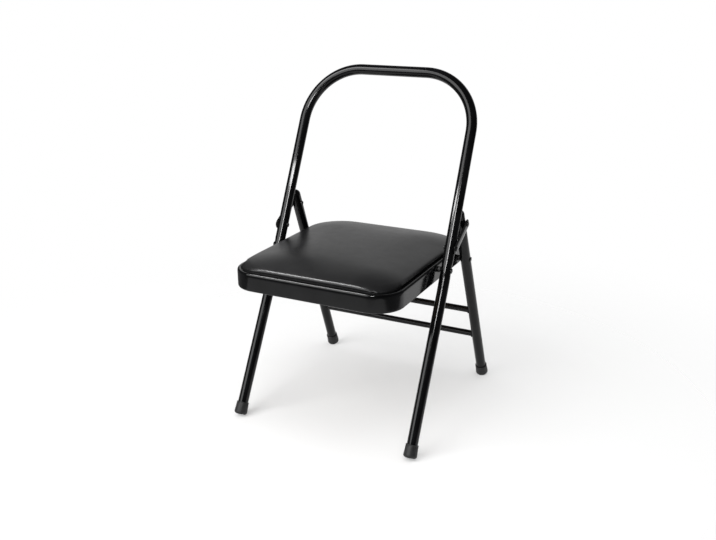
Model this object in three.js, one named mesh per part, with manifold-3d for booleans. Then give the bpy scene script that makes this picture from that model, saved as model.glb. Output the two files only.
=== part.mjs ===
import * as THREE from 'three';
import { mergeVertices } from 'three/addons/utils/BufferGeometryUtils.js';
import Module from 'manifold-3d';

// A backless folding yoga chair in millimetres, +Z up, the front towards -Y and the right towards +X.
// Two tube frames cross beside the seat: a bowed front frame, and rear legs that two link plates carry.

const wasm = await Module();
wasm.setup();

// Driving dimensions of the seat: the frame is spaced and hinged from its width and its rim
const seatWidth = 404;
const rimTopHeight = 394.4;
const panHeight = 40.9;
const seatCornerRadius = 63;
const seatFrontOverhang = 251.9;
const pinCornerGap = 6.4;

// Driving dimensions of the front frame; side gaps run from the seat's edge to the tube's centre line
const tubeDiameter = 25;
const tubeWall = 1.5;
const frontFootSideGap = 22.1;
const bowSideGap = 15.5;
const bowHeight = 791;
const bowReach = 397;
const bowRadius = 135;
const kneeHeight = 335;
const bowLean = 217;
const kneeRadius = 420;

// Driving dimensions of the rear legs
const rearFootSideGap = 23.6;
const rearTopSideGap = 16.1;
const rearFootReach = 483.4;
const legTopRise = 23.5;
const crossbarDiameter = 15.4;
const crossbarWall = 1.2;
const upperCrossbarHeight = 212;
const lowerCrossbarHeight = 134.4;

// Places of the four hinge pins, which lie on the tubes' centre lines
const seatFrontPinDrop = 14.4;
const seatRearPinDrop = 26.4;
const linkFrontPinRise = 46;
const linkRearPinRise = 86;

// Clearances
const fitGap = 0.3;
const turnGap = 0.4;
const cutOverrun = 6;
const mergeDistance = 0.0001;

// Link plates, rivets, washers and spacers
const linkWidth = 24;
const linkThickness = 2;
const rivetDiameter = 8;
const rivetHeadDiameter = 12;
const rivetHeadHeight = 1.8;
const rivetTailDiameter = 11;
const rivetTailHeight = 1.5;
const washerDiameter = 18;
const frontWasherThickness = 1;
const spacerDiameter = 14;

// Foot caps
const capWall = 1.8;
const capFlare = 1;
const capLength = 30;
const capFloor = 4;
const capRound = 6;
const capLipRound = 1;
const capFlat = 0.6;

// Seat pan, board and pad
const panWall = 1.5;
const rimWidth = 9;
const rimThickness = 8;
const rimRound = 3.9;
const apronSetback = 0.3;
const flangeWidth = 30;
const lipWidth = 9;
const boardThickness = 6;
const boardRimGap = 4;
const padRimSetback = 7.5;
const padDrawIn = 5;
const padRound = 9;
const padRise = 28;
const padDome = 2.6;
const padShoulder = 16;
const padShoulderReach = 100;
const screwDiameter = 4;
const screwHeadDiameter = 9;
const screwHeadHeight = 2.4;
const screwRimGap = 12;
const screwCornerGap = 10;
const screwTipDepth = 4.5;

// How finely the round shapes are cut up
const tubeSides = 20;
const smallSides = 16;
const cornerSteps = 6;
const bowSteps = 8;
const kneeSteps = 2;
const domeSteps = 5;
const edgeSteps = 7;

const kneeReach = bowReach - bowLean;
const frontFootSpread = seatWidth + 2 * frontFootSideGap;
const bowSpread = seatWidth + 2 * bowSideGap;
const rearFootSpread = seatWidth + 2 * rearFootSideGap;
const rearTopSpread = seatWidth + 2 * rearTopSideGap;
const seatFrontPinHeight = rimTopHeight - seatFrontPinDrop;
const seatRearPinHeight = rimTopHeight - seatRearPinDrop;
const linkFrontPinHeight = seatFrontPinHeight + linkFrontPinRise;
const linkRearPinHeight = seatFrontPinHeight + linkRearPinRise;
const rearTopHeight = linkRearPinHeight + legTopRise;
const tubeRadius = tubeDiameter / 2;
const crossbarRadius = crossbarDiameter / 2;
const rivetRadius = rivetDiameter / 2;
const sides = [{ name: 'left', sign: -1 }, { name: 'right', sign: 1 }];

// Gloss black paint on the steel, black vinyl on the pad and soft black plastic on the feet
function material(color, roughness, metalness) {
  return new THREE.MeshStandardMaterial({ color, roughness, metalness });
}

// The shared corner points are joined and the slivers that this leaves at an axis are dropped.
function weld(geometry) {
  const bare = geometry.clone();
  bare.deleteAttribute('normal');
  bare.deleteAttribute('uv');
  const merged = mergeVertices(bare, mergeDistance);
  const index = merged.index.array;
  const kept = [];
  for (let i = 0; i < index.length; i += 3) {
    const [a, b, c] = [index[i], index[i + 1], index[i + 2]];
    if (a !== b && b !== c && c !== a) kept.push(a, b, c);
  }
  merged.setIndex(kept);
  return merged;
}

function solid(geometry) {
  const welded = weld(geometry);
  const vertProperties = new Float32Array(welded.attributes.position.array);
  const triVerts = new Uint32Array(welded.index.array);
  return new wasm.Manifold(new wasm.Mesh({ numProp: 3, vertProperties, triVerts }));
}

function geometryOf(body) {
  const mesh = body.getMesh();
  const geometry = new THREE.BufferGeometry();
  geometry.setAttribute('position', new THREE.BufferAttribute(new Float32Array(mesh.vertProperties), 3));
  geometry.setIndex([...mesh.triVerts]);
  geometry.computeVertexNormals();
  return geometry;
}

function piece(name, geometry, look) {
  const mesh = new THREE.Mesh(geometry, look);
  mesh.name = name;
  return mesh;
}

// A turned shape about +Z from [radius, height] pairs that go down the outside.
function turned(pairs, segments) {
  const points = pairs.map(([radius, height]) => new THREE.Vector2(radius, height));
  const geometry = new THREE.LatheGeometry(points.reverse(), segments);
  geometry.rotateX(Math.PI / 2);
  return weld(geometry);
}

function ringPairs(inner, outer, bottom, top) {
  return [[inner, top], [outer, top], [outer, bottom], [inner, bottom], [inner, top]];
}

// Quarter circle pairs about [radius, height], from one angle to another, both in quarter turns.
function arcPairs(radius, height, size, from, to, steps) {
  const pairs = [];
  for (let i = 0; i <= steps; i += 1) {
    const angle = (from + ((to - from) * i) / steps) * (Math.PI / 2);
    pairs.push([radius + size * Math.cos(angle), height + size * Math.sin(angle)]);
  }
  return pairs;
}

// A round bar along X with its middle at a point, used to drill holes.
function drill(centre, radius, length, segments) {
  const bar = new THREE.CylinderGeometry(radius, radius, length, segments);
  bar.rotateZ(Math.PI / 2);
  bar.translate(centre.x, centre.y, centre.z);
  return solid(bar);
}

// The front tube's centre line on the right-hand side: two straight runs in side view.
function frontAt(height) {
  const half = (frontFootSpread + ((bowSpread - frontFootSpread) * height) / bowHeight) / 2;
  const upper = (height - kneeHeight) / (bowHeight - kneeHeight);
  const lower = height / kneeHeight;
  const reach = height > kneeHeight ? kneeReach + bowLean * upper : kneeReach * lower;
  return new THREE.Vector3(half, reach, height);
}

// The rear leg's rounded top bears on the back of the front tube, which stops the legs from spreading.
const upperLean = Math.atan2(bowLean, bowHeight - kneeHeight);
const rearTopReach = frontAt(rearTopHeight).y + (tubeDiameter + fitGap) / Math.cos(upperLean);

function rearAt(height) {
  const share = height / rearTopHeight;
  const half = (rearFootSpread + (rearTopSpread - rearFootSpread) * share) / 2;
  return new THREE.Vector3(half, rearFootReach + (rearTopReach - rearFootReach) * share, height);
}

function onSide(point, sign) {
  return new THREE.Vector3(point.x * sign, point.y, point.z);
}

// A point on a line through two of its points, at a distance from the first one.
function along(start, end, distance) {
  return start.clone().addScaledVector(end.clone().sub(start).normalize(), distance);
}

// Hinge pins on the right-hand side
const linkFrontPin = frontAt(linkFrontPinHeight);
const linkRearPin = rearAt(linkRearPinHeight);
const seatFrontPin = frontAt(seatFrontPinHeight);
const seatRearPin = rearAt(seatRearPinHeight);

// The seat's straight sides carry both pins: its corners start a little behind the rear one.
const seatFrontReach = seatFrontPin.y - seatFrontOverhang;
const seatDepth = seatRearPin.y + pinCornerGap + seatCornerRadius - seatFrontReach;

// Distances from the middle plane of the faces that the hinge pieces lie between
const linkInner = linkFrontPin.x + tubeRadius + frontWasherThickness + 2 * fitGap;
const linkOuter = linkInner + linkThickness;
const rearWasherThickness = linkInner - linkRearPin.x - tubeRadius - 2 * fitGap;
const apronOuter = seatWidth / 2 - apronSetback;
const apronInner = apronOuter - panWall;

const paint = { color: 0x0b0b0c, roughness: 0.16, metalness: 0.35 };
const steelLook = () => material(paint.color, paint.roughness, paint.metalness);
const rivetLook = () => material(0x1c1c1e, 0.22, 0.8);
const capLook = () => material(0x1a1a1b, 0.5, 0);
const spacerLook = () => material(0x161617, 0.45, 0);
const vinylLook = () => material(0x1b1b1d, 0.42, 0);
const boardLook = () => material(0x5b4a37, 0.8, 0);

// A foot's place on a leaning tube: its cap's flat touches the floor and its tube end lies inside it.
const capMouthRadius = tubeRadius + fitGap + capWall;
const capFootRadius = capMouthRadius + capFlare;

function footPlaces(foot, above) {
  const up = above.clone().sub(foot).normalize();
  const lean = Math.acos(up.z);
  const edge = (capFootRadius - capRound) * Math.sin(lean) + capRound - capFlat;
  const sole = edge / Math.cos(lean) - capRound;
  return { up, sole, tubeEnd: sole + capFloor + fitGap };
}

const frontFoot = frontAt(0);
const frontFootPlaces = footPlaces(frontFoot, frontAt(kneeHeight));
const rearFoot = rearAt(0);
const rearFootPlaces = footPlaces(rearFoot, rearAt(rearTopHeight));

// The front tube's centre line as points, with a ring of the sweep at each one
class RingPath extends THREE.Curve {
  constructor(points) {
    super();
    this.points = points;
  }

  getPoint(t, target = new THREE.Vector3()) {
    const last = this.points.length - 1;
    const place = Math.min(Math.max(t, 0), 1) * last;
    const i = Math.min(Math.floor(place), last - 1);
    return target.lerpVectors(this.points[i], this.points[i + 1], place - i);
  }

  getPointAt(u, target) {
    return this.getPoint(u, target);
  }

  getTangentAt(u, target) {
    return this.getTangent(u, target);
  }
}

// The points of a rounded corner between two straight runs that leave it.
function roundedCorner(corner, before, after, radius, steps) {
  const back = before.clone().sub(corner).normalize();
  const on = after.clone().sub(corner).normalize();
  const half = back.angleTo(on) / 2;
  const centre = back.clone().add(on).normalize().multiplyScalar(radius / Math.sin(half)).add(corner);
  const from = corner.clone().addScaledVector(back, radius / Math.tan(half)).sub(centre);
  const to = corner.clone().addScaledVector(on, radius / Math.tan(half)).sub(centre);
  const turn = from.angleTo(to);
  const points = [];
  for (let i = 0; i <= steps; i += 1) {
    const share = i / steps;
    const point = centre.clone();
    point.addScaledVector(from, Math.sin((1 - share) * turn) / Math.sin(turn));
    point.addScaledVector(to, Math.sin(share * turn) / Math.sin(turn));
    points.push(point);
  }
  return points;
}

function frontTubePoints() {
  const knee = frontAt(kneeHeight);
  const top = frontAt(bowHeight);
  const end = along(frontFoot, knee, frontFootPlaces.tubeEnd);
  const lower = roundedCorner(knee, end, top, kneeRadius, kneeSteps);
  const upper = roundedCorner(top, knee, onSide(top, -1), bowRadius, bowSteps);
  const right = [end, ...lower, ...upper];
  const left = right.map((point) => onSide(point, -1)).reverse();
  return [...right, ...left];
}

function ringShape(outer, inner) {
  const shape = new THREE.Shape();
  shape.absarc(0, 0, outer, 0, Math.PI * 2, false);
  const hole = new THREE.Path();
  hole.absarc(0, 0, inner, 0, Math.PI * 2, true);
  shape.holes.push(hole);
  return shape;
}

// Each side's hinge pins are drilled through the front tube.
function frontTube() {
  const points = frontTubePoints();
  const sweep = new THREE.ExtrudeGeometry(ringShape(tubeRadius, tubeRadius - tubeWall), {
    steps: points.length - 1,
    curveSegments: tubeSides / 2,
    extrudePath: new RingPath(points),
  });
  let body = solid(sweep);
  for (const { sign } of sides) {
    for (const pin of [linkFrontPin, seatFrontPin]) {
      const hole = drill(onSide(pin, sign), rivetRadius + turnGap, tubeDiameter + cutOverrun, smallSides);
      body = body.subtract(hole);
    }
  }
  return geometryOf(body);
}

// A rear leg is a straight tube with a closed, rounded top.
function rearLeg(sign) {
  const foot = onSide(rearFoot, sign);
  const top = onSide(rearAt(rearTopHeight), sign);
  const start = along(foot, top, rearFootPlaces.tubeEnd);
  const length = top.distanceTo(start);
  const inner = tubeRadius - tubeWall;
  const geometry = turned([
    ...arcPairs(0, length, tubeRadius, 1, 0, domeSteps),
    [tubeRadius, 0],
    [inner, 0],
    ...arcPairs(0, length, inner, 0, 1, domeSteps),
  ], tubeSides);
  const up = top.clone().sub(foot).normalize();
  geometry.applyQuaternion(new THREE.Quaternion().setFromUnitVectors(new THREE.Vector3(0, 0, 1), up));
  geometry.translate(start.x, start.y, start.z);
  let body = solid(geometry);
  for (const pin of [linkRearPin, seatRearPin]) {
    const hole = drill(onSide(pin, sign), rivetRadius + turnGap, tubeDiameter + cutOverrun, smallSides);
    body = body.subtract(hole);
  }
  return geometryOf(body);
}

// A crossbar's ends are hollowed to fit round the legs that it is welded to.
function crossbar(height) {
  const middle = rearAt(height);
  const bar = new THREE.ExtrudeGeometry(ringShape(crossbarRadius, crossbarRadius - crossbarWall), {
    depth: 2 * middle.x,
    steps: 1,
    bevelEnabled: false,
    curveSegments: smallSides / 2,
  });
  bar.rotateY(Math.PI / 2);
  bar.translate(-middle.x, middle.y, middle.z);
  let body = solid(bar);
  for (const { sign } of sides) {
    const from = onSide(rearAt(height - tubeDiameter), sign);
    const to = onSide(rearAt(height + tubeDiameter), sign);
    const round = tubeRadius + fitGap;
    const cut = new THREE.CylinderGeometry(round, round, from.distanceTo(to), tubeSides);
    const up = to.clone().sub(from).normalize();
    cut.applyQuaternion(new THREE.Quaternion().setFromUnitVectors(new THREE.Vector3(0, 1, 0), up));
    cut.translate((from.x + to.x) / 2, (from.y + to.y) / 2, (from.z + to.z) / 2);
    body = body.subtract(solid(cut));
  }
  return geometryOf(body);
}

// A foot cap is a cup that widens towards a rounded sole, which is cut flat where it meets the floor.
function footCap(name, foot, places, sign) {
  const bore = tubeRadius + fitGap;
  const rim = places.sole + capLength;
  const geometry = turned([
    [bore, rim],
    ...arcPairs(capMouthRadius - capLipRound, rim - capLipRound, capLipRound, 1, 0, 2),
    ...arcPairs(capFootRadius - capRound, places.sole + capRound, capRound, 0, -1, 3),
    [0, places.sole],
    [0, places.sole + capFloor],
    [bore, places.sole + capFloor],
    [bore, rim],
  ], tubeSides);
  const up = onSide(places.up, sign);
  geometry.applyQuaternion(new THREE.Quaternion().setFromUnitVectors(new THREE.Vector3(0, 0, 1), up));
  const floor = new THREE.BoxGeometry(3 * capFootRadius, 3 * capFootRadius, cutOverrun);
  floor.translate(0, 0, -cutOverrun / 2);
  const mesh = piece(name, geometryOf(solid(geometry).subtract(solid(floor))), capLook());
  mesh.position.copy(onSide(foot, sign));
  return mesh;
}

// A rivet's low head lies at its origin, outwards.
function rivetHead() {
  const bulge = rivetHeadDiameter / 2;
  return arcPairs(0, 0, 1, 1, 0, 4).map(([r, h]) => [r * bulge, h * rivetHeadHeight]);
}

// The shank and the rolled tail run inwards from the head.
function rivetGeometry(grip) {
  const tail = rivetTailDiameter / 2;
  const foot = arcPairs(0, 0, 1, 0, -1, 3).map(([r, h]) => [r * tail, h * rivetTailHeight - grip]);
  return turned([...rivetHead(), [rivetRadius, 0], [rivetRadius, -grip], ...foot], smallSides);
}

// This rivet has no tail, because the rear seat hinge is made in two halves.
function plainRivetGeometry(grip) {
  return turned([...rivetHead(), [rivetRadius, 0], [rivetRadius, -grip], [0, -grip]], smallSides);
}

// The inner half of the rear seat hinge: a flat stub in the pan's hole and a tail inside the pan.
function stubGeometry() {
  const tail = rivetTailDiameter / 2;
  const foot = arcPairs(0, 0, 1, 0, -1, 3).map(([r, h]) => [r * tail, h * rivetTailHeight - fitGap]);
  return turned([[0, panWall], [rivetRadius, panWall], [rivetRadius, -fitGap], ...foot], smallSides);
}

// A turned piece that is set on a hinge axis, its +Z outwards, at a distance from the middle plane.
function onAxis(name, geometry, pin, distance, sign, look) {
  const mesh = piece(name, geometry, look);
  mesh.position.set(sign * distance, pin.y, pin.z);
  mesh.rotation.y = (sign * Math.PI) / 2;
  return mesh;
}

function washer(name, pin, inner, outer, diameter, sign) {
  const bore = rivetRadius + turnGap;
  const geometry = turned(ringPairs(bore, diameter / 2, 0, outer - inner), smallSides);
  return onAxis(name, geometry, pin, inner, sign, spacerLook());
}

// A link plate is a flat bar with round ends between its two pins.
function linkPlate(name, sign) {
  const front = onSide(linkFrontPin, sign);
  const run = new THREE.Vector3(0, linkRearPin.y - linkFrontPin.y, linkRearPin.z - linkFrontPin.z);
  const length = run.length();
  const shape = new THREE.Shape();
  shape.absarc(0, 0, linkWidth / 2, Math.PI / 2, (3 * Math.PI) / 2, false);
  shape.absarc(length, 0, linkWidth / 2, -Math.PI / 2, Math.PI / 2, false);
  shape.closePath();
  for (const place of [0, length]) {
    const hole = new THREE.Path();
    hole.absarc(place, 0, rivetRadius + turnGap, 0, Math.PI * 2, true);
    shape.holes.push(hole);
  }
  const plate = new THREE.ExtrudeGeometry(shape, {
    depth: linkThickness,
    steps: 1,
    bevelEnabled: false,
    curveSegments: smallSides / 2,
  });
  const outwards = new THREE.Vector3(sign, 0, 0);
  const alongPlate = run.clone().normalize();
  const across = outwards.clone().cross(alongPlate);
  const mesh = piece(name, weld(plate), steelLook());
  mesh.quaternion.setFromRotationMatrix(new THREE.Matrix4().makeBasis(alongPlate, across, outwards));
  mesh.position.set(sign * linkInner, front.y, front.z);
  return mesh;
}

// A rectangle with round corners, by its half sizes
function roundedShape(halfWidth, halfDepth, radius) {
  const shape = new THREE.Shape();
  const x = halfWidth - radius;
  const y = halfDepth - radius;
  shape.absarc(x, y, radius, 0, Math.PI / 2, false);
  shape.absarc(-x, y, radius, Math.PI / 2, Math.PI, false);
  shape.absarc(-x, -y, radius, Math.PI, (3 * Math.PI) / 2, false);
  shape.absarc(x, -y, radius, (3 * Math.PI) / 2, 2 * Math.PI, false);
  shape.closePath();
  return shape;
}

function reversedPath(shape) {
  return new THREE.Path(shape.getPoints(cornerSteps).slice(0, -1).reverse());
}

// A flat ring that follows the seat's outline, between two distances in from the seat's edge
function seatRing(outerIn, innerIn, bottom, height, round) {
  const outerShape = roundedShape(seatWidth / 2 - outerIn - round, seatDepth / 2 - outerIn - round,
    seatCornerRadius - outerIn - round);
  const shape = new THREE.Shape(outerShape.getPoints(cornerSteps).slice(0, -1));
  const innerShape = roundedShape(seatWidth / 2 - innerIn + round, seatDepth / 2 - innerIn + round,
    seatCornerRadius - innerIn + round);
  shape.holes.push(reversedPath(innerShape));
  const ring = new THREE.ExtrudeGeometry(shape, {
    depth: height - 2 * round,
    steps: 1,
    curveSegments: cornerSteps,
    bevelEnabled: round > 0,
    bevelThickness: round,
    bevelSize: round,
    bevelSegments: 3,
  });
  ring.translate(0, 0, bottom + round);
  return solid(ring);
}

const rimBottom = panHeight - rimThickness;
const seatMiddle = new THREE.Vector3(0, seatFrontReach + seatDepth / 2, rimTopHeight - panHeight);
const boardTop = panHeight - fitGap;
const boardBottom = boardTop - boardThickness;
const flangeTop = boardBottom - fitGap;
const screwAcross = seatWidth / 2 - seatCornerRadius - screwCornerGap;
const screwDeep = seatDepth / 2 - rimWidth - screwRimGap;
const screwPlaces = [];
for (const y of [-1, 1]) {
  for (const x of [-1, 1]) screwPlaces.push([x * screwAcross, y * screwDeep]);
}

function upright(radius, bottom, top, place) {
  const bar = new THREE.CylinderGeometry(radius, radius, top - bottom, smallSides);
  bar.rotateX(Math.PI / 2);
  bar.translate(place[0], place[1], (top + bottom) / 2);
  return solid(bar);
}

// The pan is pressed sheet: an apron, a rolled rim, a flange that the board lies on and a turned-in lip.
function seatPan() {
  const apron = seatRing(apronSetback, apronSetback + panWall, 0, panHeight - rimThickness / 2, 0);
  const rim = seatRing(0, rimWidth, rimBottom, rimThickness, rimRound);
  const flange = seatRing(apronSetback, apronSetback + flangeWidth, flangeTop - panWall, panWall, 0);
  const lip = seatRing(apronSetback, apronSetback + lipWidth, 0, panWall, 0);
  let body = apron.add(rim).add(flange).add(lip);
  for (const { sign } of sides) {
    for (const pin of [seatFrontPin, seatRearPin]) {
      const centre = new THREE.Vector3(sign * apronOuter, pin.y, pin.z).sub(seatMiddle);
      body = body.subtract(drill(centre, rivetRadius + turnGap, cutOverrun, smallSides));
    }
  }
  for (const place of screwPlaces) {
    const from = flangeTop - cutOverrun / 2;
    body = body.subtract(upright(screwDiameter / 2 + fitGap, from, flangeTop + cutOverrun / 2, place));
  }
  return geometryOf(body);
}

function seatBoard() {
  const inset = rimWidth + boardRimGap;
  const shape = roundedShape(seatWidth / 2 - inset, seatDepth / 2 - inset, seatCornerRadius - inset);
  const board = new THREE.ExtrudeGeometry(new THREE.Shape(shape.getPoints(cornerSteps).slice(0, -1)), {
    depth: boardThickness,
    steps: 1,
    bevelEnabled: false,
  });
  board.translate(0, 0, boardBottom);
  let body = solid(board);
  for (const place of screwPlaces) {
    const top = boardBottom + screwTipDepth + fitGap;
    body = body.subtract(upright(screwDiameter / 2 + fitGap, boardBottom - cutOverrun, top, place));
  }
  return geometryOf(body);
}

function screwGeometry() {
  const head = screwHeadDiameter / 2;
  const shank = screwDiameter / 2;
  const seat = flangeTop - panWall - fitGap;
  const tip = boardBottom + screwTipDepth;
  const dome = arcPairs(0, 0, 1, 0, -1, 3).map(([r, h]) => [r * head, seat + h * screwHeadHeight]);
  return turned([[0, tip], [shank, tip], [shank, seat], ...dome], smallSides);
}

// One outline of the pad as points, at a distance in from its widest line
function padOutline(inset) {
  const radius = seatCornerRadius - padRimSetback - inset;
  const x = seatWidth / 2 - padRimSetback - inset - radius;
  const y = seatDepth / 2 - padRimSetback - inset - radius;
  const corners = [[x, y], [-x, y], [-x, -y], [x, -y]];
  const points = [];
  corners.forEach(([cx, cy], quarter) => {
    for (let i = 0; i <= cornerSteps; i += 1) {
      const angle = ((quarter + i / cornerSteps) * Math.PI) / 2;
      points.push([cx + radius * Math.cos(angle), cy + radius * Math.sin(angle)]);
    }
    const [nx, ny] = corners[(quarter + 1) % corners.length];
    const angle = ((quarter + 1) * Math.PI) / 2;
    const [ax, ay] = [cx + radius * Math.cos(angle), cy + radius * Math.sin(angle)];
    const [bx, by] = [nx + radius * Math.cos(angle), ny + radius * Math.sin(angle)];
    for (let i = 1; i < edgeSteps; i += 1) {
      const share = i / edgeSteps;
      points.push([ax + (bx - ax) * share, ay + (by - ay) * share]);
    }
  });
  return points;
}

// The pad's rows from its crown outwards, round its edge and down its drawn-in side. It is flat on top
// and falls away in a shoulder along each side, so that its corners, where two meet, are lowest.
const crownShares = [0, 0.25, 0.5, 0.65, 0.8, 0.92];
const edgeInShares = [1, 0.6, 0.28, 0.06, 0];
const edgeUpShares = [1, 0.97, 0.9, 0.8, 0.68];
const sideInShares = [0.4, 1];
const sideUpShares = [0.34, 0];

function padGeometry() {
  const rows = [
    ...crownShares.map((share) => ({ share, inset: padRound, up: 1 })),
    ...edgeInShares.map((share, i) => ({ share: 1, inset: share * padRound, up: edgeUpShares[i] })),
    ...sideInShares.map((share, i) => ({ share: 1, inset: share * padDrawIn, up: sideUpShares[i] })),
    { share: 0, inset: padDrawIn, up: 0 },
  ];
  const outlines = rows.map((row) => padOutline(row.inset));
  const columns = outlines[0].length;
  const profile = rows.map((row) => new THREE.Vector2(row.share, row.up));
  const pad = new THREE.LatheGeometry(profile.reverse(), columns);
  const position = pad.attributes.position;
  for (let i = 0; i < position.count; i += 1) {
    const row = rows.length - 1 - (i % rows.length);
    const column = Math.floor(i / rows.length) % columns;
    const { share, up } = rows[row];
    const [x, y] = outlines[row][column].map((value) => value * share);
    const gaps = [seatWidth / 2 - padRimSetback - Math.abs(x), seatDepth / 2 - padRimSetback - Math.abs(y)];
    const fall = gaps.reduce((sum, gap) => sum + Math.max(0, 1 - gap / padShoulderReach) ** 2, 0);
    const rise = padRise - padDome * share * share - padShoulder * fall;
    position.setXYZ(i, x, y, panHeight + up * rise);
  }
  return weld(pad);
}

const chair = new THREE.Group();

// Front frame with its feet, its hinge rivets and the front seat hinge
const frontFrame = new THREE.Group();
frontFrame.add(piece('front_frame_tube', frontTube(), steelLook()));
for (const { name, sign } of sides) {
  frontFrame.add(footCap(`front_foot_cap_${name}`, frontFoot, frontFootPlaces, sign));
  const linkGrip = linkOuter - linkFrontPin.x + tubeRadius + 2 * fitGap;
  frontFrame.add(onAxis(`link_front_rivet_${name}`, rivetGeometry(linkGrip), linkFrontPin,
    linkOuter + fitGap, sign, rivetLook()));
  const tubeOuter = linkFrontPin.x + tubeRadius + fitGap;
  frontFrame.add(washer(`link_front_washer_${name}`, linkFrontPin, tubeOuter,
    tubeOuter + frontWasherThickness, washerDiameter, sign));
  const seatHead = seatFrontPin.x + tubeRadius + fitGap;
  const seatGrip = seatHead - apronInner + fitGap;
  frontFrame.add(onAxis(`seat_front_rivet_${name}`, rivetGeometry(seatGrip), seatFrontPin,
    seatHead, sign, rivetLook()));
  frontFrame.add(washer(`seat_front_spacer_${name}`, seatFrontPin, apronOuter + fitGap,
    seatFrontPin.x - tubeRadius - fitGap, spacerDiameter, sign));
}
chair.add(frontFrame);

// Link plates
for (const { name, sign } of sides) {
  chair.add(linkPlate(`link_plate_${name}`, sign));
}

// Rear legs with their crossbars, feet, rivets and the outer half of the rear seat hinge
const rearFrame = new THREE.Group();
rearFrame.add(piece('upper_crossbar', crossbar(upperCrossbarHeight), steelLook()));
rearFrame.add(piece('lower_crossbar', crossbar(lowerCrossbarHeight), steelLook()));
for (const { name, sign } of sides) {
  rearFrame.add(piece(`rear_leg_${name}`, rearLeg(sign), steelLook()));
  rearFrame.add(footCap(`rear_foot_cap_${name}`, rearFoot, rearFootPlaces, sign));
  const linkGrip = linkOuter - linkRearPin.x + tubeRadius + 2 * fitGap;
  rearFrame.add(onAxis(`link_rear_rivet_${name}`, rivetGeometry(linkGrip), linkRearPin,
    linkOuter + fitGap, sign, rivetLook()));
  const tubeOuter = linkRearPin.x + tubeRadius + fitGap;
  rearFrame.add(washer(`link_rear_washer_${name}`, linkRearPin, tubeOuter,
    tubeOuter + rearWasherThickness, washerDiameter, sign));
  const seatHead = seatRearPin.x + tubeRadius + fitGap;
  const seatGrip = seatHead - apronOuter - fitGap;
  rearFrame.add(onAxis(`seat_rear_rivet_${name}`, plainRivetGeometry(seatGrip), seatRearPin,
    seatHead, sign, rivetLook()));
  rearFrame.add(washer(`seat_rear_spacer_${name}`, seatRearPin, apronOuter + fitGap,
    seatRearPin.x - tubeRadius - fitGap, spacerDiameter, sign));
}
chair.add(rearFrame);

// Seat: pan, board, pad, screws and the inner half of the rear seat hinge
const seat = new THREE.Group();
seat.position.copy(seatMiddle);
seat.add(piece('seat_pan', seatPan(), steelLook()));
seat.add(piece('seat_board', seatBoard(), boardLook()));
seat.add(piece('seat_pad', padGeometry(), vinylLook()));
screwPlaces.forEach(([x, y], i) => {
  const screw = piece(`seat_screw_${i + 1}`, screwGeometry(), rivetLook());
  screw.position.set(x, y, 0);
  seat.add(screw);
});
for (const { name, sign } of sides) {
  const local = seatRearPin.clone().sub(seatMiddle);
  seat.add(onAxis(`seat_rear_stub_${name}`, stubGeometry(), local, apronInner, sign, rivetLook()));
}
chair.add(seat);

// The origin is on the floor, under the middle of the chair.
chair.updateMatrixWorld(true);
const extent = new THREE.Box3().setFromObject(chair, true);
chair.position.set(0, -(extent.min.y + extent.max.y) / 2, -extent.min.z);

export default chair;
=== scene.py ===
import bmesh
import bpy
import numpy as np
from mathutils import Matrix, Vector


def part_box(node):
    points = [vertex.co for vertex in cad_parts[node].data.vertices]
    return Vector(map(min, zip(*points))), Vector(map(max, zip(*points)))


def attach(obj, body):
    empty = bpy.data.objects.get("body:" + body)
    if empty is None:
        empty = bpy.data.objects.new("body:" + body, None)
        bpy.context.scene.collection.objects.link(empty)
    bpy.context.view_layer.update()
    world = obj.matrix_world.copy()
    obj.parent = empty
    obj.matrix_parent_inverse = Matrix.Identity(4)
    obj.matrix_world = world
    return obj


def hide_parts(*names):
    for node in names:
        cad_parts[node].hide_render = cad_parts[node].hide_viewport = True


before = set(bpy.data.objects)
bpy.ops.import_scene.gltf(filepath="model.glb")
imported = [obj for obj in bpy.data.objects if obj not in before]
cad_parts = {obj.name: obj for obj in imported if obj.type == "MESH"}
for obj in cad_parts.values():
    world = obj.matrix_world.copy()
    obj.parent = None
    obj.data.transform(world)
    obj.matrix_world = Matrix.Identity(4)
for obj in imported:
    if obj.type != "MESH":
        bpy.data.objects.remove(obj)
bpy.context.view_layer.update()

# The front frame is one length of 25 mm steel tube, bent into a bow over the seat and cranked a
# little at the knee under it. It is pressed slightly flat at the seat's hinges, has gloss black
# enamel baked on all over, and stands with both of its ends in soft foot caps.
tube_radius = 0.0125
tube_around = 48
ring_spacing = 0.03
front_foot = np.array([0.2241, -0.222, 0.0])
front_knee = np.array([0.221305, -0.042, 0.335])
front_bow = np.array([0.2175, 0.175, 0.791])
front_start = 0.0096
knee_bend = 0.42
knee_steps = 16
bow_bend = 0.135
bow_steps = 40
seat_hinge_height = 0.38
press_reach = 0.013
press_deeper = 0.035
press_narrower = 0.06
press_rows = np.linspace(-0.024, 0.024, 25)
mirror = np.array([-1.0, 1.0, 1.0])
rightward = np.array([1.0, 0.0, 0.0])
enamel_black = (0.002, 0.002, 0.0022, 1.0)
enamel_dusty = (0.0045, 0.0045, 0.005, 1.0)


def unit(vectors):
    """Each vector divided by its own length."""
    vectors = np.asarray(vectors, float)
    return vectors / np.linalg.norm(vectors, axis=-1, keepdims=True)


def full_turn(count):
    """Angles of that many points evenly round a circle."""
    return np.arange(count) * 2 * np.pi / count


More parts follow.
